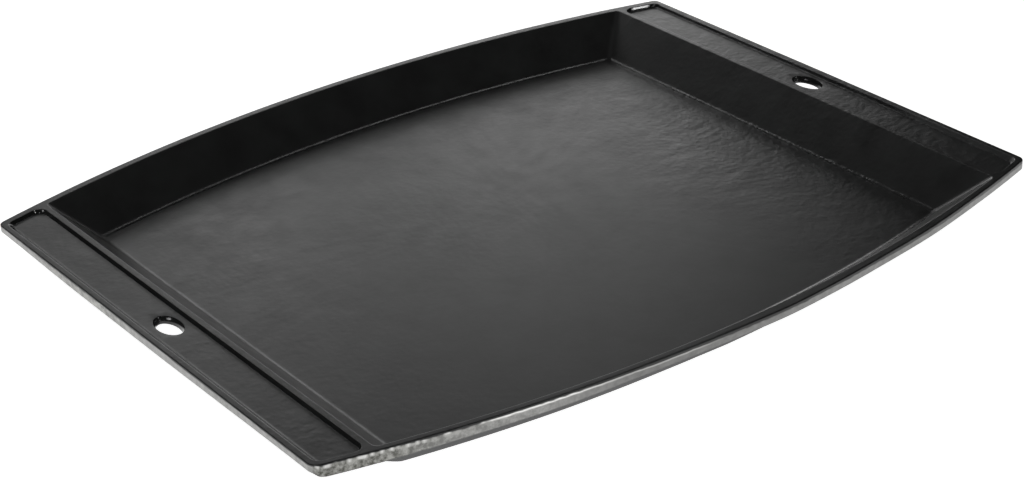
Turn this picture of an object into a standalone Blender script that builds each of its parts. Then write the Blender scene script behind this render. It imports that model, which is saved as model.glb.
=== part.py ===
"""Cast iron platter.

One iron casting: a shallow rectangular dish whose two long sides bow outwards,
with four sloped walls, a thin rim and, at each end, a flat handle flange level
with the rim. Each flange has a shallow recessed panel and an oval hang hole.

Frame: origin in the middle of the face it rests on, +X along the length from
handle to handle, +Y across, +Z up. Metres.
"""
import math

import bmesh
import bpy
from mathutils import Matrix

for old in list(bpy.data.objects):
    bpy.data.objects.remove(old, do_unlink=True)

MM = 0.001

# ---- driving dimensions, in millimetres -----------------------------------
LENGTH = 387.4            # over both handle flanges
WIDTH = 311.7             # across the middle of the bowed sides
BOW_RADIUS = 705.0        # plan radius of both long sides
CORNER_RADIUS = 4.0       # outer corners of the flanges
HEIGHT = 22.0             # resting face to rim

EDGE_THICKNESS = 4.8      # flange thickness, and height of the outer edge face
EDGE_ROUND = 0.6          # rounding along the outer top and bottom edges

RIM_WIDTH = 3.1           # top of the long walls
RIM_HALF_LENGTH = 168.3   # dish mouth, centre to end
RIM_CORNER = 2.8
RIM_ROUND = 0.9           # rounding along the mouth

FLOOR_THICKNESS = 4.8
FLOOR_INSET = 23.1        # from the outer bow to the foot of the long walls
FLOOR_HALF_LENGTH = 149.6
FLOOR_CORNER = 3.2
FLOOR_FILLET = 5.0        # between floor and walls

BASE_INSET = 21.1         # resting face, from the outer bow
BASE_HALF_LENGTH = 150.8
BASE_CORNER = 4.6
BASE_ROUND = 2.4
SHOULDER_HALF_LENGTH = 170.8   # where the end walls meet the flange undersides
SHOULDER_CORNER = 4.2

PANEL_DEPTH = 1.7         # recess in each flange
PANEL_IN = 170.9          # recess mouth, nearest the dish
PANEL_OUT = 190.6         # recess mouth, nearest the end
PANEL_INSET = 2.8         # recess mouth, from the outer bow
PANEL_RUN_IN = 1.1        # run of the steep recess wall nearest the dish,
PANEL_RUN_OUT = 3.0       # of the gentle one nearest the end
PANEL_RUN_SIDE = 1.2      # and of the steep two at the sides
PANEL_CORNER = 4.4

HOLE_X = 180.8            # hang hole centre
HOLE_HALF_X = 5.15
HOLE_HALF_Y = 9.0

ARC_STEPS = 26
CORNER_STEPS = 5

HALF = LENGTH / 2
BOW_CENTRE = WIDTH / 2 - BOW_RADIUS     # y of the far bow's centre


# ---- plan outlines ---------------------------------------------------------
def bowed_half(x, inset):
    """Half width at x of the outline that lies inset inside the outer bow."""
    r = BOW_RADIUS - inset
    return BOW_CENTRE + math.sqrt(r * r - x * x)


def quarter(x_end, inset, radius):
    """Points round one corner, from the straight end to the bowed side."""
    r = BOW_RADIUS - inset
    cx = x_end - radius
    cy = BOW_CENTRE + math.sqrt((r - radius) ** 2 - cx * cx)
    last = math.atan2(cy - BOW_CENTRE, cx)
    return [(cx + radius * math.cos(last * k / CORNER_STEPS),
             cy + radius * math.sin(last * k / CORNER_STEPS))
            for k in range(CORNER_STEPS + 1)]


def dish_outline(half_length, inset, radius):
    """Closed outline, symmetric about X and Y, counter-clockwise."""
    corner = quarter(half_length, inset, radius)
    x_arc = corner[-1][0]
    arc = [(x_arc - 2 * x_arc * k / ARC_STEPS, 0) for k in range(1, ARC_STEPS)]
    far = corner + [(x, bowed_half(x, inset)) for x, _ in arc] \
        + [(-x, y) for x, y in reversed(corner)]
    return far + [(-x, -y) for x, y in far]


def panel_outline(x_in, x_out, inset, radius):
    """Closed outline of a flange recess at the +X end, counter-clockwise."""
    outer = quarter(x_out, inset, radius)
    # inner corner: between the bow and the straight side nearest the dish
    r = BOW_RADIUS - inset
    cx = x_in + radius
    cy = BOW_CENTRE + math.sqrt((r - radius) ** 2 - cx * cx)
    first = math.atan2(cy - BOW_CENTRE, cx)
    inner = [(cx + radius * math.cos(first + (math.pi - first) * k / CORNER_STEPS),
              cy + radius * math.sin(first + (math.pi - first) * k / CORNER_STEPS))
             for k in range(CORNER_STEPS + 1)]
    far = outer + inner
    return far + [(x, -y) for x, y in reversed(far)]


# ---- solids ----------------------------------------------------------------
def loft(name, sections, collection):
    """Closed solid through stacked outlines: [(z, points), ...], bottom up."""
    bm = bmesh.new()
    loops = []
    for z, points in sections:
        verts = [bm.verts.new((x * MM, y * MM, z * MM)) for x, y in points]
        edges = [bm.edges.new((verts[i], verts[(i + 1) % len(verts)]))
                 for i in range(len(verts))]
        loops.append(edges)
    for low, high in zip(loops, loops[1:]):
        bmesh.ops.bridge_loops(bm, edges=low + high)
    bmesh.ops.edgeloop_fill(bm, edges=loops[0])
    bmesh.ops.edgeloop_fill(bm, edges=loops[-1])
    bmesh.ops.recalc_face_normals(bm, faces=bm.faces)
    mesh = bpy.data.meshes.new(name)
    bm.to_mesh(mesh)
    bm.free()
    obj = bpy.data.objects.new(name, mesh)
    collection.objects.link(obj)
    return obj


def as_cutter(obj):
    obj.hide_render = True
    obj.display_type = 'WIRE'
    return obj


def boolean(obj, other, operation):
    mod = obj.modifiers.new(operation.title() + " " + other.name, 'BOOLEAN')
    mod.operation = operation
    mod.solver = 'EXACT'
    mod.object = other
    return mod


parts = bpy.data.collections.new("cast_iron_platter")
cutters = bpy.data.collections.new("platter_cutters")
bpy.context.scene.collection.children.link(parts)
bpy.context.scene.collection.children.link(cutters)

# Rim plate: the full plan outline, as thick as the flanges, edges rounded.
z_under = HEIGHT - EDGE_THICKNESS
plate_sections = []
for k in range(3):
    a = math.radians(90 - 45 * k)
    s = EDGE_ROUND * (1 - math.cos(a))
    plate_sections.append((z_under + EDGE_ROUND * (1 - math.sin(a)), s))
for k in range(3):
    a = math.radians(45 * k)
    s = EDGE_ROUND * (1 - math.cos(a))
    plate_sections.append((HEIGHT - EDGE_ROUND * (1 - math.sin(a)), s))
casting = loft("platter_casting",
               [(z, dish_outline(HALF - s, s, CORNER_RADIUS - s))
                for z, s in plate_sections], parts)

# Dish shell, outside: resting face, rounded foot, sloped walls, and the small
# fillet where the end walls turn into the undersides of the flanges.
wall_run = BASE_INSET - 0.3
slope = math.atan2(z_under, wall_run)
tangent = BASE_ROUND * math.tan(slope / 2)
body_sections = []
for k in range(4):
    a = slope * k / 3
    out = -tangent + BASE_ROUND * math.sin(a)
    body_sections.append((BASE_ROUND * (1 - math.cos(a)),
                          BASE_HALF_LENGTH + out, BASE_INSET - out, BASE_CORNER))
end_run = SHOULDER_HALF_LENGTH - BASE_HALF_LENGTH
for f, flare in ((0.80, 0.0), (0.93, 0.5)):
    body_sections.append((z_under * f, BASE_HALF_LENGTH + end_run * f + flare,
                          BASE_INSET - wall_run * f, SHOULDER_CORNER))
body_sections.append((z_under, SHOULDER_HALF_LENGTH + 2.0, 0.3, SHOULDER_CORNER))
body_sections.append((z_under + 1.9, SHOULDER_HALF_LENGTH + 2.0, 0.3, SHOULDER_CORNER))
body = as_cutter(loft("dish_outside",
                      [(z, dish_outline(h, i, r)) for z, h, i, r in body_sections],
                      cutters))
boolean(casting, body, 'UNION')

# Dish cavity: floor, floor fillet, sloped walls, rounded mouth.
depth = HEIGHT - FLOOR_THICKNESS
run_y = FLOOR_INSET - RIM_WIDTH
run_x = RIM_HALF_LENGTH - FLOOR_HALF_LENGTH
in_slope = math.atan2(depth, run_y)
t_floor = FLOOR_FILLET * math.tan(in_slope / 2)
t_rim = RIM_ROUND * math.tan(in_slope / 2)
cavity_sections = []


def cavity_at(z_up, out, corner):
    """Section z_up above the floor whose long sides stand out by out."""
    share = out / run_y
    cavity_sections.append((FLOOR_THICKNESS + z_up,
                            dish_outline(FLOOR_HALF_LENGTH + share * run_x,
                                         FLOOR_INSET - out, corner)))


for k in range(5):
    a = in_slope * k / 4
    cavity_at(FLOOR_FILLET * (1 - math.cos(a)),
              -t_floor + FLOOR_FILLET * math.sin(a), FLOOR_CORNER)
for k in range(3):
    a = in_slope * (1 - k / 2)
    cavity_at(depth - RIM_ROUND * (1 - math.cos(a)),
              run_y + t_rim - RIM_ROUND * math.sin(a), RIM_CORNER)
cavity_at(depth + 3.0, run_y + t_rim, RIM_CORNER)
cavity = as_cutter(loft("dish_cavity", cavity_sections, cutters))
boolean(casting, cavity, 'DIFFERENCE')

# Flange recesses and hang holes, one at each end.
for side, label in ((1, "right"), (-1, "left")):
    turn = Matrix.Rotation(0 if side > 0 else math.pi, 4, 'Z')
    panel = as_cutter(loft("panel_" + label, [
        (HEIGHT - PANEL_DEPTH * down,
         panel_outline(PANEL_IN + PANEL_RUN_IN * run, PANEL_OUT - PANEL_RUN_OUT * run,
                       PANEL_INSET + PANEL_RUN_SIDE * run, PANEL_CORNER - 1.3 * run))
        for down, run in ((1.0, 1.0), (0.94, 0.84), (0.78, 0.66), (0.19, 0.20),
                          (0.045, 0.06), (0.0, 0.0), (-1.0, 0.0))
    ], cutters))
    panel.matrix_world = turn
    boolean(casting, panel, 'DIFFERENCE')

    bpy.ops.mesh.primitive_cylinder_add(vertices=32, radius=1.0, depth=1.0)
    hole = bpy.context.active_object
    hole.name = "hang_hole_" + label
    hole.data.transform(Matrix.Diagonal((HOLE_HALF_X * MM, HOLE_HALF_Y * MM,
                                         3 * EDGE_THICKNESS * MM, 1.0)))
    hole.location = (side * HOLE_X * MM, 0, (HEIGHT - EDGE_THICKNESS / 2) * MM)
    for owner in list(hole.users_collection):
        owner.objects.unlink(hole)
    cutters.objects.link(as_cutter(hole))
    boolean(casting, hole, 'DIFFERENCE')

# Seasoned black iron.
iron = bpy.data.materials.new("seasoned_cast_iron")
iron.use_nodes = True
shader = iron.node_tree.nodes["Principled BSDF"]
shader.inputs["Base Color"].default_value = (0.022, 0.022, 0.022, 1.0)
shader.inputs["Metallic"].default_value = 0.35
shader.inputs["Roughness"].default_value = 0.55
casting.data.materials.append(iron)
casting.data.shade_smooth()
casting.data.set_sharp_from_angle(angle=math.radians(30))
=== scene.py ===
"""Looks of the cast iron platter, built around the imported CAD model.

One iron casting: a shallow rectangular dish with bowed long sides, a thin rim
and two flat end handles with a recessed panel and an oval hang hole each.
Lengths are worked in millimetres here and turned to metres in the mesh.
"""

import math

import bmesh
import bpy
import numpy as np
from mathutils import Matrix, Vector
from mathutils.geometry import delaunay_2d_cdt


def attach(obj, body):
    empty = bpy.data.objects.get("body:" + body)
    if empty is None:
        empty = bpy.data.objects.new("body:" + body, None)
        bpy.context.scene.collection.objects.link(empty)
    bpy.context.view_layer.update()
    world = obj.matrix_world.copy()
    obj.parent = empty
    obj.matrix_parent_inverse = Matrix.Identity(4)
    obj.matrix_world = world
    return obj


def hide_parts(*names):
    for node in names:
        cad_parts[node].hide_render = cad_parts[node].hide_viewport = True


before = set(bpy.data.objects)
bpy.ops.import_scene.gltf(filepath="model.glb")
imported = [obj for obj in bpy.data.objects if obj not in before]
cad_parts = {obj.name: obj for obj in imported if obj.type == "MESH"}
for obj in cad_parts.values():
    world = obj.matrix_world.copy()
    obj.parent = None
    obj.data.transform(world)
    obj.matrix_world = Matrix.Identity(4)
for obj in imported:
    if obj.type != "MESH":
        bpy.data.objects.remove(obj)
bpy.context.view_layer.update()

MM = 0.001

# ---- the casting's own dimensions, as in the CAD ---------------------------
LENGTH, WIDTH, HEIGHT = 387.4, 311.7, 22.0
BOW_RADIUS, CORNER_RADIUS = 705.0, 4.0
EDGE_THICKNESS, EDGE_ROUND, FOOT_ROUND = 4.8, 0.6, 0.7
RIM_WIDTH, RIM_HALF_LENGTH, RIM_CORNER, RIM_ROUND = 3.1, 168.3, 2.8, 0.9
FLOOR_THICKNESS, FLOOR_INSET, FLOOR_HALF_LENGTH = 4.8, 23.1, 149.6
FLOOR_CORNER, FLOOR_FILLET = 3.2, 5.0
BASE_INSET, BASE_HALF_LENGTH, BASE_CORNER, BASE_ROUND = 21.1, 150.8, 4.6, 2.4
SHOULDER_HALF_LENGTH, SHOULDER_CORNER = 170.8, 4.2
PANEL_DEPTH, PANEL_IN, PANEL_OUT, PANEL_INSET = 1.7, 170.9, 190.6, 2.8
PANEL_RUN_IN, PANEL_RUN_OUT, PANEL_RUN_SIDE, PANEL_CORNER = 1.1, 3.0, 1.2, 4.4
HOLE_X, HOLE_HALF_X, HOLE_HALF_Y = 180.8, 5.15, 9.0

HALF = LENGTH / 2
BOW_CENTRE = WIDTH / 2 - BOW_RADIUS
Z_UNDER = HEIGHT - EDGE_THICKNESS


# ---- smooth noise for the cast surface -------------------------------------
class Noise:
    """Gradient noise in three dimensions, the same on every run."""

    def __init__(self, seed):
        rng = np.random.default_rng(seed)
        self.perm = np.concatenate([rng.permutation(256)] * 3)
        g = rng.normal(size=(256, 3))
        self.grad = g / np.linalg.norm(g, axis=1)[:, None]

    def __call__(self, p):
        cell = np.floor(p).astype(int)
        f = p - cell
        w = f * f * f * (f * (f * 6 - 15) + 10)
        total = np.zeros(len(p))
        for dx in (0, 1):
            for dy in (0, 1):
                for dz in (0, 1):
                    i, j, k = ((cell[:, 0] + dx) & 255, (cell[:, 1] + dy) & 255,
                               (cell[:, 2] + dz) & 255)
                    g = self.grad[self.perm[self.perm[self.perm[i] + j] + k] & 255]
                    dot = ((f[:, 0] - dx) * g[:, 0] + (f[:, 1] - dy) * g[:, 1]
                           + (f[:, 2] - dz) * g[:, 2])
                    total += dot * (np.where(dx, w[:, 0], 1 - w[:, 0])
                                    * np.where(dy, w[:, 1], 1 - w[:, 1])
                                    * np.where(dz, w[:, 2], 1 - w[:, 2]))
        return total


# ---- plan outlines ---------------------------------------------------------
def corner_points(x_end, inset, radius, steps):
    r = BOW_RADIUS - inset
    cx = x_end - radius
    cy = BOW_CENTRE + math.sqrt((r - radius) ** 2 - cx * cx)
    a = np.linspace(0, math.atan2(cy - BOW_CENTRE, cx), steps + 1)
    return np.stack([cx + radius * np.cos(a), cy + radius * np.sin(a)], 1)


def bow(x, inset):
    return BOW_CENTRE + np.sqrt((BOW_RADIUS - inset) ** 2 - x * x)


def outline(half_length, inset, radius, end, corner, side, near_left=None):
    """Bowed rectangle, counter-clockwise. end and side count half an edge.
    near_left is the radius of that one corner, where it differs."""
    def quarter(r):
        c = corner_points(half_length, inset, r, corner)
        y = np.linspace(0, c[0, 1], end + 1)[:-1]
        x = np.linspace(c[-1, 0], 0, side + 1)[1:]
        return np.concatenate([np.stack([np.full(end, half_length), y], 1), c,
                               np.stack([x, bow(x, inset)], 1)])

    q = quarter(radius)
    left = q[:-1][::-1] * (-1, 1)                 # without the point on x = 0
    far = np.concatenate([q, left])               # from (+,0) round to (-,0)
    near = np.concatenate([quarter(near_left or radius), left])
    return np.concatenate([far[:-1], -near[:-1]])


def recess(x_in, x_out, inset, radius, end, corner, side):
    """Recess outline of the flange at +X, counter-clockwise."""
    outer = corner_points(x_out, inset, radius, corner)
    r = BOW_RADIUS - inset
    cx = x_in + radius
    cy = BOW_CENTRE + math.sqrt((r - radius) ** 2 - cx * cx)
    a = np.linspace(math.atan2(cy - BOW_CENTRE, cx), math.pi, corner + 1)
    inner = np.stack([cx + radius * np.cos(a), cy + radius * np.sin(a)], 1)
    y_out = np.linspace(0, outer[0, 1], end + 1)[:-1]
    x = np.linspace(outer[-1, 0], inner[0, 0], side + 1)[1:-1]
    y_in = np.linspace(inner[-1, 1], 0, end + 1)[1:]
    half = np.concatenate([np.stack([np.full(end, x_out), y_out], 1), outer,
                           np.stack([x, bow(x, inset)], 1), inner,
                           np.stack([np.full(end, x_in), y_in], 1)])
    return np.concatenate([half, half[1:-1][::-1] * (1, -1)])


def oval(half_x, half_y, steps=72):
    a = np.arange(steps) / steps * 2 * math.pi
    return np.stack([HOLE_X + half_x * np.cos(a), half_y * np.sin(a)], 1)


def inside(points, loop):
    """Even-odd test of points against a closed loop."""
    x, y = points[:, 0][:, None], points[:, 1][:, None]
    a, b = loop, np.roll(loop, -1, 0)
    hit = ((a[:, 1] > y) != (b[:, 1] > y)) & (
        x < (b[:, 0] - a[:, 0]) * (y - a[:, 1]) / (b[:, 1] - a[:, 1] + 1e-12) + a[:, 0])
    return hit.sum(1) % 2 == 1


# ---- the skin --------------------------------------------------------------
class Skin:
    """Rings of points joined by strips of quads, and flats filled between."""

    def __init__(self):
        self.co, self.faces, self.count = [], [], 0
        self.masks = {"edge": [], "lip": [], "worn": [], "gloss": [], "under": [], "fillet": []}

    def add(self, xy, z, **values):
        n = len(xy)
        self.co.append(np.column_stack([xy, np.full(n, z)]))
        for name, store in self.masks.items():
            store.append(np.full(n, values.get(name, 0.0)))
        self.count += n
        return np.arange(self.count - n, self.count)

    def strip(self, a, b):
        n = len(a)
        for i in range(n):
            j = (i + 1) % n
            self.faces.append((a[i], a[j], b[j], b[i]))

    def strips(self, rings):
        for a, b in zip(rings, rings[1:]):
            self.strip(a, b)

    def fill(self, outer, holes, z, spacing, **values):
        """Flat between loops that exist already, with its own inner points."""
        co = np.concatenate(self.co)
        loops = [outer] + holes
        flat = [co[l][:, :2] for l in loops]
        lo, hi = flat[0].min(0), flat[0].max(0)
        nx, ny = (np.ceil((hi - lo) / spacing)).astype(int)
        gx, gy = np.meshgrid(np.arange(nx) + 0.5, np.arange(ny) + 0.5)
        gx = gx + 0.5 * (gy.astype(int) % 2) - 0.25
        grid = np.stack([gx.ravel(), gy.ravel()], 1) * (hi - lo) / (nx, ny) + lo
        keep = inside(grid, flat[0])
        for h in flat[1:]:
            keep &= ~inside(grid, h)
        grid = grid[keep]
        edge = np.concatenate(flat)
        near = np.array([np.min(np.sum((edge - g) ** 2, 1)) for g in grid]) \
            if len(grid) else np.zeros(0)
        grid = grid[near > (0.55 * spacing) ** 2]
        new = self.add(grid, z, **values) if len(grid) else np.zeros(0, int)
        ids = np.concatenate(loops + [new]).astype(int)
        points = np.concatenate([edge, grid])
        edges, start = [], 0
        for l in loops:
            n = len(l)
            edges += [(start + i, start + (i + 1) % n) for i in range(n)]
            start += n
        out = delaunay_2d_cdt([Vector(p) for p in points], edges, [], 0, 1e-7, True)
        verts, tris, origin = out[0], out[2], out[3]
        back = [ids[o[0]] for o in origin]
        tris = np.array([t for t in tris], int)
        centre = np.array([[v.x, v.y] for v in verts])[tris].mean(1)
        keep = inside(centre, flat[0])
        for h in flat[1:]:
            keep &= ~inside(centre, h)
        for t in tris[keep]:
            self.faces.append(tuple(back[k] for k in t))


skin = Skin()
END, CORNER, SIDE = 110, 8, 150         # steps along half an edge, and a corner


def outer_ring(inset, z, **masks):
    return skin.add(outline(HALF - inset, inset, CORNER_RADIUS - inset * 0.9, END, CORNER, SIDE,
                            5.0 - inset * 0.9), z, lip=1.0, **masks)


# Outer edge: from just inside the rim top, round, down and under.
rows = [outer_ring(EDGE_ROUND + 0.4, HEIGHT)]
for k in range(7):
    a = math.radians(90 - 15 * k)
    rows.append(outer_ring(EDGE_ROUND * (1 - math.cos(a)), HEIGHT - EDGE_ROUND * (1 - math.sin(a)),
                           edge=k / 6))
face_top, face_low = HEIGHT - EDGE_ROUND, Z_UNDER + FOOT_ROUND
for k in range(1, 10):
    rows.append(outer_ring(0.0, face_top + (face_low - face_top) * k / 10, edge=1.0))
for k in range(6):
    a = math.radians(18 * k)
    rows.append(outer_ring(FOOT_ROUND * (1 - math.cos(a)), Z_UNDER + FOOT_ROUND * (1 - math.sin(a)),
                           edge=1 - k / 5))
rim_edge, under_edge = rows[0], rows[-1]
skin.strips(rows)

# Dish: rounded mouth, sloped walls, fillet, floor.
depth = HEIGHT - FLOOR_THICKNESS
run_y = FLOOR_INSET - RIM_WIDTH
run_x = RIM_HALF_LENGTH - FLOOR_HALF_LENGTH
in_slope = math.atan2(depth, run_y)
t_floor = FLOOR_FILLET * math.tan(in_slope / 2)
t_rim = RIM_ROUND * math.tan(in_slope / 2)
D_END, D_CORNER, D_SIDE = 56, 9, 80


def dish_ring(z_up, out, radius, **masks):
    """Ring z_up above the floor, out beyond the foot of the long walls. The wall
    of the left end is a little steeper than the other, whose mouth lies further
    out."""
    half_length = FLOOR_HALF_LENGTH + out / run_y * run_x
    ring = outline(half_length, FLOOR_INSET - out, radius, D_END, D_CORNER, D_SIDE)
    seam = (np.abs(ring[:, 0]) > half_length - radius) & (
        np.abs(ring[:, 1]) > corner_points(half_length, FLOOR_INSET - out, radius, 2)[0, 1])
    share = np.clip(-ring[:, 0] / half_length, 0.0, 1.0)
    ring[:, 0] -= 1.1 * share ** 3 * np.clip(1.0 - out / run_y, 0.0, 1.0)
    share = np.clip(ring[:, 0] / half_length, 0.0, 1.0)
    ring[:, 0] += 0.9 * share ** 3 * np.clip(out / run_y, 0.0, 1.0)
    masks["fillet"] = np.maximum(masks.get("fillet", 0.0), seam * 0.8)
    return skin.add(ring, FLOOR_THICKNESS + z_up, **masks)


rows = [dish_ring(depth, run_y + t_rim + 0.35, RIM_CORNER)]
# The mouth's rounding carries the worn mask: a rubbed edge, and partly a painted highlight along it.
for k in range(6):
    a = in_slope * k / 5
    rows.append(dish_ring(depth - RIM_ROUND * (1 - math.cos(a)),
                          run_y + t_rim - RIM_ROUND * math.sin(a), RIM_CORNER,
                          worn=math.sin(math.pi * k / 5) ** 2))
wall_high = depth - RIM_ROUND * (1 - math.cos(in_slope))
wall_low = FLOOR_FILLET * (1 - math.cos(in_slope))
out_high = run_y + t_rim - RIM_ROUND * math.sin(in_slope)
out_low = -t_floor + FLOOR_FILLET * math.sin(in_slope)
for k in [0.02] + [i / 8 for i in range(1, 8)] + [0.98]:
    rows.append(dish_ring(wall_high + (wall_low - wall_high) * k,
                          out_high + (out_low - out_high) * k,
                          RIM_CORNER + (FLOOR_CORNER - RIM_CORNER) * k))
for k in range(7):
    a = in_slope * (1 - k / 6)
    rows.append(dish_ring(FLOOR_FILLET * (1 - math.cos(a)),
                          -t_floor + FLOOR_FILLET * math.sin(a), FLOOR_CORNER,
                          fillet=math.sin(math.pi * (k + 0.5) / 7)))
rows.append(dish_ring(0.0, -t_floor - 0.6, FLOOR_CORNER))
mouth, floor_loop = rows[0], rows[-1]
skin.strips(rows)

# Underside: the flat it rests on, rounded foot, sloped walls, shoulders.
U_END, U_CORNER, U_SIDE = 40, 8, 60
wall_run = BASE_INSET - (FOOT_ROUND + 0.15)
slope = math.atan2(Z_UNDER, wall_run)
tangent = BASE_ROUND * math.tan(slope / 2)
end_run = SHOULDER_HALF_LENGTH - BASE_HALF_LENGTH


def under_ring(z, half_length, inset, radius):
    return skin.add(outline(half_length, inset, radius, U_END, U_CORNER, U_SIDE), z, under=1.0)


rows = [under_ring(0.0, BASE_HALF_LENGTH - tangent - 0.5, BASE_INSET + tangent + 0.5, BASE_CORNER)]
for k in range(6):
    a = slope * k / 5
    out = -tangent + BASE_ROUND * math.sin(a)
    rows.append(under_ring(BASE_ROUND * (1 - math.cos(a)), BASE_HALF_LENGTH + out,
                           BASE_INSET - out, BASE_CORNER))
for f, flare in ((0.2, 0), (0.35, 0), (0.5, 0), (0.65, 0), (0.78, 0.0), (0.87, 0.15),
                 (0.93, 0.45), (0.97, 0.95), (0.99, 1.5)):
    rows.append(under_ring(Z_UNDER * f, BASE_HALF_LENGTH + end_run * f + flare,
                           BASE_INSET - wall_run * f, SHOULDER_CORNER))
rows.append(under_ring(Z_UNDER, SHOULDER_HALF_LENGTH + 2.4, FOOT_ROUND + 0.15, SHOULDER_CORNER))
base_loop, shoulder = rows[0], rows[-1]
skin.strips(rows)

# Recessed panels and hang holes. Their walls are smooth and shiny, with small
# fillets; only the one nearest the end is gentle.
profile = [(-0.20, 0.0), (-0.05, 0.0), (0.0, 0.012), (0.06, 0.045), (0.12, 0.10), (0.20, 0.19),
           (0.32, 0.35), (0.50, 0.58), (0.66, 0.78), (0.76, 0.88), (0.84, 0.94), (0.92, 0.98),
           (0.97, 0.995), (1.0, 1.0), (1.15, 1.0)]
recess_tops, panels, hole_tops, hole_feet = [], [], [], []
z_panel = HEIGHT - PANEL_DEPTH
for side in (1, -1):
    rows = []
    # The top edge of each recess carries the worn mask too: rubbed metal, and partly a painted highlight.
    for run, down in profile:
        ring = recess(PANEL_IN + PANEL_RUN_IN * run + (0.6 if side > 0 else 0.0),
                      PANEL_OUT + 0.5 - PANEL_RUN_OUT * run, PANEL_INSET + PANEL_RUN_SIDE * run,
                      PANEL_CORNER - 1.3 * run, 70, 8, 6)
        rows.append(skin.add(ring * side, HEIGHT - PANEL_DEPTH * down,
                             worn=max(0.0, 1 - abs(run - 0.03) / 0.12),
                             gloss=np.where(ring[:, 0] > PANEL_OUT - 3.4, float(0.1 < run < 0.6),
                                            float(0.1 < run < 0.95))))
    skin.strips(rows)
    recess_tops.append(rows[0])
    panels.append(rows[-1])

    def oval_ring(out, z, **values):
        ring = oval(HOLE_HALF_X + out, HOLE_HALF_Y + out) * side
        return skin.add(ring + ((0.95, 1.0) if side > 0 else (0.85, 1.1)), z, **values)

    # The hole narrows downwards, as the pattern that formed it was drawn out.
    hole = [oval_ring(out, z_panel - down, gloss=shine)
            for out, down, shine in ((0.45, 0.0, 0.0), (0.35, 0.02, 0.0), (0.26, 0.07, 0.4),
                                     (0.17, 0.17, 1.0), (0.04, 0.38, 1.0), (-0.13, 0.68, 1.0),
                                     (-0.29, 0.98, 1.0), (-0.45, 1.3, 1.0), (-0.58, 1.65, 1.0),
                                     (-0.68, 2.1, 1.0), (-0.75, 2.6, 1.0), (-0.8, 3.1, 1.0))]
    for k in range(1, 4):
        a = math.radians(30 * k)
        hole.append(oval_ring(-0.8 + 0.25 * (1 - math.cos(a)), z_panel - 3.1 - 0.3 * math.sin(a),
                              gloss=1.0 - k / 3, under=k / 3))
    hole.append(oval_ring(0.3, z_panel - 3.45, under=1.0))
    hole.append(oval_ring(1.2, Z_UNDER, under=1.0))
    skin.strips(hole)
    hole_tops.append(hole[0])
    hole_feet.append(hole[-1])

# Flats between them.
skin.fill(rim_edge, [mouth] + recess_tops, HEIGHT, 3.0)
skin.fill(floor_loop, [], FLOOR_THICKNESS, 5.0)
for panel, top in zip(panels, hole_tops):
    skin.fill(panel, [top], z_panel, 3.5)
skin.fill(under_edge, [shoulder] + hole_feet, Z_UNDER, 4.0, under=1.0)
skin.fill(base_loop, [], 0.0, 7.0, under=1.0)

co = np.concatenate(skin.co)
masks = {name: np.concatenate(store) for name, store in skin.masks.items()}
edge = masks["edge"]

mesh = bpy.data.meshes.new("platter_iron_skin")
mesh.from_pydata((co * MM).tolist(), [], [list(map(int, f)) for f in skin.faces])
bm = bmesh.new()
bm.from_mesh(mesh)
bmesh.ops.recalc_face_normals(bm, faces=bm.faces)
open_edges = sum(1 for e in bm.edges if len(e.link_faces) != 2)
print("skin:", len(bm.verts), "points", len(bm.faces), "faces", open_edges, "open edges")
bm.normal_update()
normals = np.array([v.normal[:] for v in bm.verts])
bm.to_mesh(mesh)
bm.free()

# Casting waviness everywhere. The outer edge was ground by hand: bare metal
# starts a little below the rim, unevenly, and is coarse towards the near left.
swell, ripple, nick, grind = Noise(11), Noise(23), Noise(37), Noise(53)


def smooth(value, low, high):
    t = np.clip((value - low) / (high - low), 0.0, 1.0)
    return t * t * (3 - 2 * t)


x, y, below = co[:, 0], co[:, 1], HEIGHT - co[:, 2]
along = co * (1, 1, 0)
lip = masks["lip"]
near_side = smooth(-y, 100.0, 112.0) * smooth(193.0 - np.abs(x), 0.0, 0.6)
start = 0.85 + 0.45 * grind(along / 26.0) + 0.4 * grind(along / 4.0 + 17.0)
start += near_side * (0.6 * smooth(x, -95.0, -40.0) - 0.55 * smooth(-x, 140.0, 175.0))
ground = smooth(below - start, 0.0, 0.3) * smooth(edge, 0.55, 1.0)
coarse = np.clip(0.25 + 1.3 * grind(along / 70.0 + 41.0), 0.1, 0.8)
coarse = coarse * (1 - near_side) + near_side * (0.06 + 0.34 * smooth(-x, 70.0, 130.0)
                                                 + 0.6 * smooth(-x, 135.0, 178.0))
burr = smooth(below - start, -0.15, 0.1) * smooth(start - below, -0.75, -0.3) * edge
blob = smooth(below - start, -0.1, 0.2) * smooth(start - below, -1.5, -0.8) * edge
speck = smooth(grind(along / 1.7 + 71.0), 0.0, 0.12)
line = smooth(0.5 * grind(along / 14.0 + 61.0) + 0.35 * grind(along / 3.0 + 7.0), -0.45, -0.2)
burr *= near_side * smooth(-x, 10.0, 34.0) * (line * smooth(x, -130.0, -116.0) * (0.45 + 0.55 * smooth(-x, 60.0, 90.0))
                                             + 0.7 * speck * smooth(-x, 112.0, 130.0)) \
    + (1 - near_side) * 0.4 * speck * smooth(coarse, 0.4, 0.8)
burr = np.maximum(burr, near_side * 0.6 * speck * blob * smooth(-x, 135.0, 160.0))
# Some stretches of the near side are brighter metal than others. Away from the near side the left half, chiefly the
# left end's face, is painted lighter than the right half: painted light standing in for the light that falls on the
# left end.
tone_and_painted_light = near_side * np.interp(x, [-190, -165, -140, -100, -60, -20, 40, 120],
                             [0.15, 0.4, 0.9, 0.8, 0.2, 0.25, 0.5, 0.45]) \
    + (1 - near_side) * np.where(x < 0, 1.0, 0.6)

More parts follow.
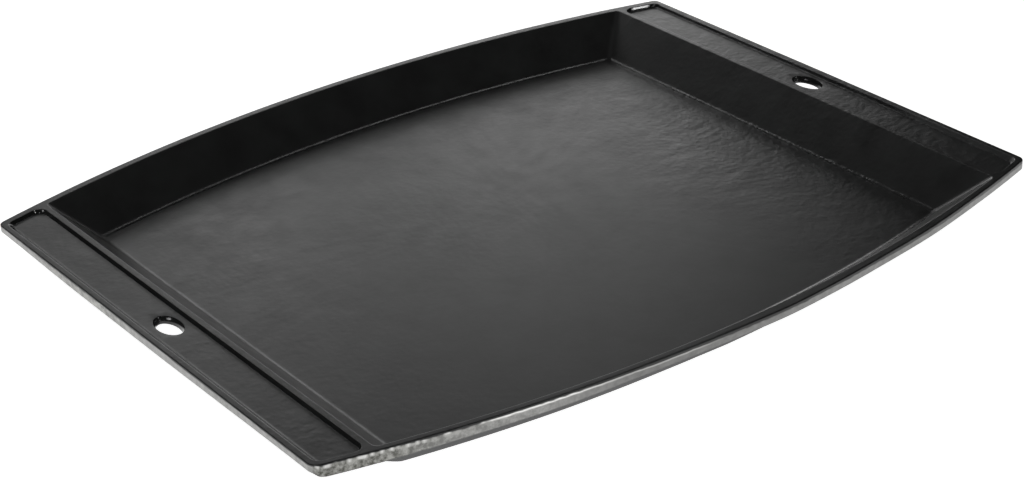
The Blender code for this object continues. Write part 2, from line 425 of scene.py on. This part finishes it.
# Grinding left the long sides a little proud and the near one's lower edge low
# at the left, and took the lower edge of the left end off at both corners.
share = np.clip(below / EDGE_THICKNESS, 0.0, 1.0) * lip
on_near = lip * smooth(-y, 100.0, 125.0)
co[:, 1] -= on_near * (1.25 * np.exp(-((x - 32.0) / 48.0) ** 2) + 0.3 * np.exp(-((x - 20.0) / 14.0) ** 2)
                       + 0.6 * np.exp(-((x - 114.0) / 26.0) ** 2))
co[:, 0] += lip * smooth(x, 189.0, 193.5) * 0.38 * np.exp(-((y - 20.0) / 95.0) ** 2)
co[:, 2] -= on_near * share * (0.9 * smooth(-x, 50.0, 95.0) + 0.3 * smooth(-x, 130.0, 160.0)) \
    * smooth(x, -194.0, -188.0)
low_wall = masks["under"] * (1 - lip) * smooth(-y, 100.0, 112.0) * smooth(below, 6.0, 12.0)
co[:, 1] -= low_wall * np.interp(x, [-160, -80, -30, -10, 5, 25, 60], [0.6, 0.42, 0.18, 0.35, 0.8, 0.8, 0.0])
co[:, 1] += lip * smooth(y, 100.0, 125.0) * (0.7 + 0.4 * smooth(x, 40.0, 110.0))
on_left = share * smooth(-x, 191.0, 193.2)
co[:, 2] += on_left * (1.0 * smooth(-y, 0.0, 122.0) + 1.2 * smooth(y, 50.0, 128.0))

move = 0.05 * swell(co / 34.0 + 5.0) + 0.015 * ripple(co / 9.0 + 9.0)
move += edge * coarse * (0.16 * nick(co / (5.0, 5.0, 2.5) + 3.0) + 0.12 * nick(co / (1.7, 1.7, 1.3) + 31.0))
move += edge * 0.04 * nick(co / (6.0, 6.0, 3.0) + 13.0)
move = np.where(co[:, 2] < 0.5, 0.0, move)
# The cast grain is strongest at the right end and weakest near the viewer.
patch = swell(co / 60.0 + 21.0)
wall = smooth(x, 150.0, 153.0) * smooth(170.0 - x, 0.0, 2.0) * smooth(below, 0.6, 1.2)
grain = (0.14 - 0.04 * smooth(-y, 0.0, 80.0)
         + (0.66 - 0.45 * wall - 0.2 * smooth(y, 0.0, 90.0)) * smooth(x, 50.0, 145.0) + 0.07 * smooth(y, -40.0, 60.0)
         + 0.1 * smooth(-x, 60.0, 120.0) + 0.2 * smooth(-x, 166.0, 172.0)) * (1.0 + 0.6 * patch)
grain = np.clip(np.maximum(grain, 0.35 * masks["fillet"]) * (1.0 - 0.75 * masks["gloss"]), 0.0, 1.0)
# Right flange: the strip beside the dish leans outwards a little, and the rubbed
# mouth, whose lighter colour is partly a painted highlight, is fainter there. Polished corners face the far side only.
right = smooth(x, 150.0, 160.0)
strip = right * smooth(x, 169.0, 171.4) * smooth(172.6 - x, 0.0, 0.6) * (below < 0.05)
# Rubbed mouth and recess edges are lighter in colour: real wear, and partly a painted highlight on the rounded edges,
# made stronger at the left flange's mouth and weaker on the right flange and towards the near right.
worn = masks["worn"] * (1.0 - 0.75 * right * smooth(170.6 - x, 0.0, 0.4)) \
    * (1.0 + smooth(-x, 160.0, 166.0) * smooth(170.0 + x, 0.0, 0.5)) \
    * (1.0 - 0.6 * smooth(x, -40.0, 20.0) * smooth(-y, 80.0, 100.0))
gloss = masks["gloss"] * (1.0 - right * smooth(-y, 40.0, 70.0))
gloss = np.maximum(gloss, masks["fillet"] * (0.8 - 0.6 * smooth(-x, 140.0, 148.0)
                                             - 0.45 * smooth(x, 138.0, 146.0)
                                             - 0.25 * smooth(y, 95.0, 115.0)))
co = co + normals * move[:, None]
co[:, 2] -= 0.07 * strip
mesh.vertices.foreach_set("co", (co * MM).ravel())
for name, values in (("ground", ground), ("burr", burr), ("worn", worn), ("gloss", gloss),
                     ("under", masks["under"]), ("grain", grain), ("coarse", coarse),
                     ("tone_and_painted_light", tone_and_painted_light)):
    layer = mesh.attributes.new(name, "FLOAT", "POINT")
    layer.data.foreach_set("value", values.astype(np.float32))
mesh.shade_smooth()
mesh.update()

platter = bpy.data.objects.new("platter_iron", mesh)
bpy.context.scene.collection.objects.link(platter)
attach(platter, "root")
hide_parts("platter_casting")


# ---- material --------------------------------------------------------------
def seasoned_iron():
    mat = bpy.data.materials.new("seasoned_iron_skin")
    mat.use_nodes = True
    nodes, links = mat.node_tree.nodes, mat.node_tree.links
    shader = nodes["Principled BSDF"]

    def node(kind, **values):
        n = nodes.new(kind)
        for key, value in values.items():
            if key in n.inputs:
                n.inputs[key].default_value = value
            else:
                setattr(n, key, value)
        return n

    coord = node("ShaderNodeTexCoord")

    def noise(scale, detail=3.0, rough=0.55):
        n = node("ShaderNodeTexNoise", Scale=scale, Detail=detail, Roughness=rough)
        links.new(coord.outputs["Object"], n.inputs["Vector"])
        return n.outputs["Fac"]

    def spread(source, low, high, at_low, at_high):
        n = node("ShaderNodeMapRange")
        for key, value in (("From Min", low), ("From Max", high),
                           ("To Min", at_low), ("To Max", at_high)):
            n.inputs[key].default_value = value
        links.new(source, n.inputs["Value"])
        return n.outputs["Result"]

    def math_(operation, a, b):
        n = node("ShaderNodeMath", operation=operation)
        for slot, value in enumerate((a, b)):
            if isinstance(value, float):
                n.inputs[slot].default_value = value
            else:
                links.new(value, n.inputs[slot])
        return n.outputs[0]

    def mask(name):
        return node("ShaderNodeAttribute", attribute_name=name).outputs["Fac"]

    def mix(a, b, factor):
        n = node("ShaderNodeMix", data_type="RGBA")
        links.new(factor, n.inputs[0])
        for slot, value in ((6, a), (7, b)):
            if isinstance(value, tuple):
                n.inputs[slot].default_value = value
            else:
                links.new(value, n.inputs[slot])
        return n.outputs[2]

    # Cast grain over a slow unevenness of the skin.
    grain = mask("grain")
    normal = None
    for height, distance in ((noise(60.0, 1.0), 0.00028), (noise(125.0, 1.0), 0.00024),
                             (noise(260.0, 1.0), 0.00019), (noise(520.0, 1.0), 0.00007)):
        bump = node("ShaderNodeBump", Distance=distance)
        links.new(grain, bump.inputs["Strength"])
        links.new(height, bump.inputs["Height"])
        if normal is not None:
            links.new(normal, bump.inputs["Normal"])
        normal = bump.outputs["Normal"]
    links.new(normal, shader.inputs["Normal"])

    # Bare metal: ground edge, burr on it, rubbed corners (whose lighter colour is partly
    # a painted highlight on the rounded edges), and a trace of it where the seasoning is thin.
    ground, burr, worn = mask("ground"), mask("burr"), mask("worn")
    thin = spread(noise(110.0, 4.0, 0.7), 0.35, 0.65, 0.0, 0.04)
    bare = math_("MAXIMUM", math_("MAXIMUM", ground, burr),
                 math_("MAXIMUM", math_("MULTIPLY", worn, 0.12), thin))
    links.new(bare, shader.inputs["Metallic"])

    skin_tone = mix((0.011, 0.011, 0.011, 1), (0.017, 0.018, 0.0175, 1),
                    spread(noise(55.0, 4.0, 0.6), 0.36, 0.66, 0.0, 1.0))
    # The tone attribute lightens the ground metal; on the left end this lightening is painted light, not the metal's
    # own colour.
    tone_and_painted_light = mask("tone_and_painted_light")
    mottled = mix(mix((0.07, 0.07, 0.06, 1), (0.11, 0.11, 0.1, 1), tone_and_painted_light),
                  mix((0.26, 0.26, 0.245, 1), (0.45, 0.45, 0.425, 1), tone_and_painted_light),
                  spread(noise(420.0, 4.0, 0.65), 0.38, 0.62, 0.0, 1.0))
    even = mix(mix((0.14, 0.14, 0.137, 1), (0.26, 0.26, 0.255, 1), tone_and_painted_light),
               mix((0.17, 0.17, 0.167, 1), (0.33, 0.33, 0.325, 1), tone_and_painted_light),
               spread(noise(300.0, 3.0, 0.6), 0.36, 0.64, 0.0, 1.0))
    metal = mix(even, mottled, mask("coarse"))
    # Lighter grey on the rubbed edges: wear, and in part a painted highlight.
    rubbed_and_highlit = mix(skin_tone, (0.1, 0.1, 0.1, 1), worn)
    face = mix(rubbed_and_highlit, metal, ground)
    links.new(mix(face, (0.85, 0.85, 0.83, 1), burr), shader.inputs["Base Color"])

    gloss, under = mask("gloss"), mask("under")
    patchy = spread(noise(70.0, 5.0, 0.75), 0.3, 0.7, 0.315, 0.405)
    smoother = math_("SUBTRACT", patchy, math_("MULTIPLY", gloss, 0.21))
    links.new(math_("MAXIMUM", smoother, math_("MULTIPLY", under, 0.7)), shader.inputs["Roughness"])
    shader.inputs["Specular IOR Level"].default_value = 0.5
    return mat


platter.data.materials.append(seasoned_iron())

# ---- floor, light and camera -----------------------------------------------
bpy.ops.mesh.primitive_plane_add(size=8.0, location=(0, 0, -0.0002))
floor = bpy.context.active_object
floor.name = "studio_floor"
white = bpy.data.materials.new("studio_white")
white.use_nodes = True
ws = white.node_tree.nodes["Principled BSDF"]
ws.inputs["Base Color"].default_value = (0.6, 0.6, 0.6, 1)
ws.inputs["Roughness"].default_value = 1.0
ws.inputs["Specular IOR Level"].default_value = 0.0
ws.inputs["Emission Color"].default_value = (1, 1, 1, 1)
ws.inputs["Emission Strength"].default_value = 0.96
floor.data.materials.append(white)

scene = bpy.context.scene
world = bpy.data.worlds.new("studio")
scene.world = world
world.use_nodes = True
background = world.node_tree.nodes["Background"]
background.inputs["Color"].default_value = (1, 1, 1, 1)
background.inputs["Strength"].default_value = 0.005


def softbox(name, azimuth, elevation, distance, size, power):
    """Square panel facing the dish. Azimuth runs from +X towards +Y."""
    a, e = math.radians(azimuth), math.radians(elevation)
    data = bpy.data.lights.new(name, "AREA")
    data.shape = "SQUARE"
    data.size, data.energy = size, power
    lamp = bpy.data.objects.new(name, data)
    scene.collection.objects.link(lamp)
    place = Vector((math.cos(a) * math.cos(e), math.sin(a) * math.cos(e), math.sin(e)))
    lamp.location = place * distance
    lamp.rotation_mode = "QUATERNION"
    lamp.rotation_quaternion = (-place).to_track_quat("-Z", "Y")
    return lamp


# White panels behind the dish give the sheen; small ones over and in front of
# it pick out fillets, corners and edges.
for values in (("panel_back", 60, 16, 1.6, 0.35, 0.55),
               ("panel_back_left", 70, 26, 1.6, 0.35, 0.59),
               ("panel_back_high", 50, 26, 1.6, 0.35, 0.22),
               ("panel_back_wide", 60, 22, 1.7, 0.55, 0.6),
               ("panel_back_near", 50, 16, 0.9, 0.22, 0.216),
               ("panel_back_right", 40, 16, 0.9, 0.22, 0.134),
               ("panel_low_right", 40, 6, 0.9, 0.22, 0.08),
               ("panel_left", 90, 26, 1.6, 0.35, 0.95),
               ("panel_over_far", 25, 55, 1.7, 0.25, 0.75),
               ("panel_over_left", 82, 44, 1.7, 0.25, 0.9),
               ("panel_front_low", 270, 8, 1.7, 0.55, 2.0),
               ("panel_left_low", 180, 8, 1.7, 0.55, 8.9),
               ("key_small", 207, 62, 1.7, 0.12, 3.0),
               ("panel_front", 286.8, 31.7, 2.95, 0.22, 7.0),
               ("panel_top", 190, 75, 1.7, 0.2, 0.6)):
    softbox(*values)

# Camera at the photograph's own place.
FOCAL_PIXELS, FRAME_PIXELS = 2318.279, 1024
right = Vector((0.79383217, -0.60694616, -0.03803736))
down = Vector((-0.31230887, -0.35320515, -0.88187828))
ahead = Vector((0.52181764, 0.71194275, -0.46994028))
half_pixel = 0.5 / FOCAL_PIXELS
look = (ahead - right * half_pixel - down * half_pixel).normalized()
right = (right - look * right.dot(look)).normalized()
down = look.cross(right)
camera_data = bpy.data.cameras.new("camera")
camera_data.sensor_fit = "HORIZONTAL"
camera_data.sensor_width = 36.0
camera_data.lens = FOCAL_PIXELS / FRAME_PIXELS * 36.0
camera_data.clip_start, camera_data.clip_end = 0.05, 50.0
camera = bpy.data.objects.new("camera", camera_data)
scene.collection.objects.link(camera)
pose = Matrix.Identity(4)
for row in range(3):
    pose[row][0], pose[row][1], pose[row][2] = right[row], -down[row], -look[row]
pose.translation = (-0.555007, -0.752634, 0.495085)
camera.matrix_world = pose
scene.camera = camera
scene.view_settings.view_transform = "Standard"
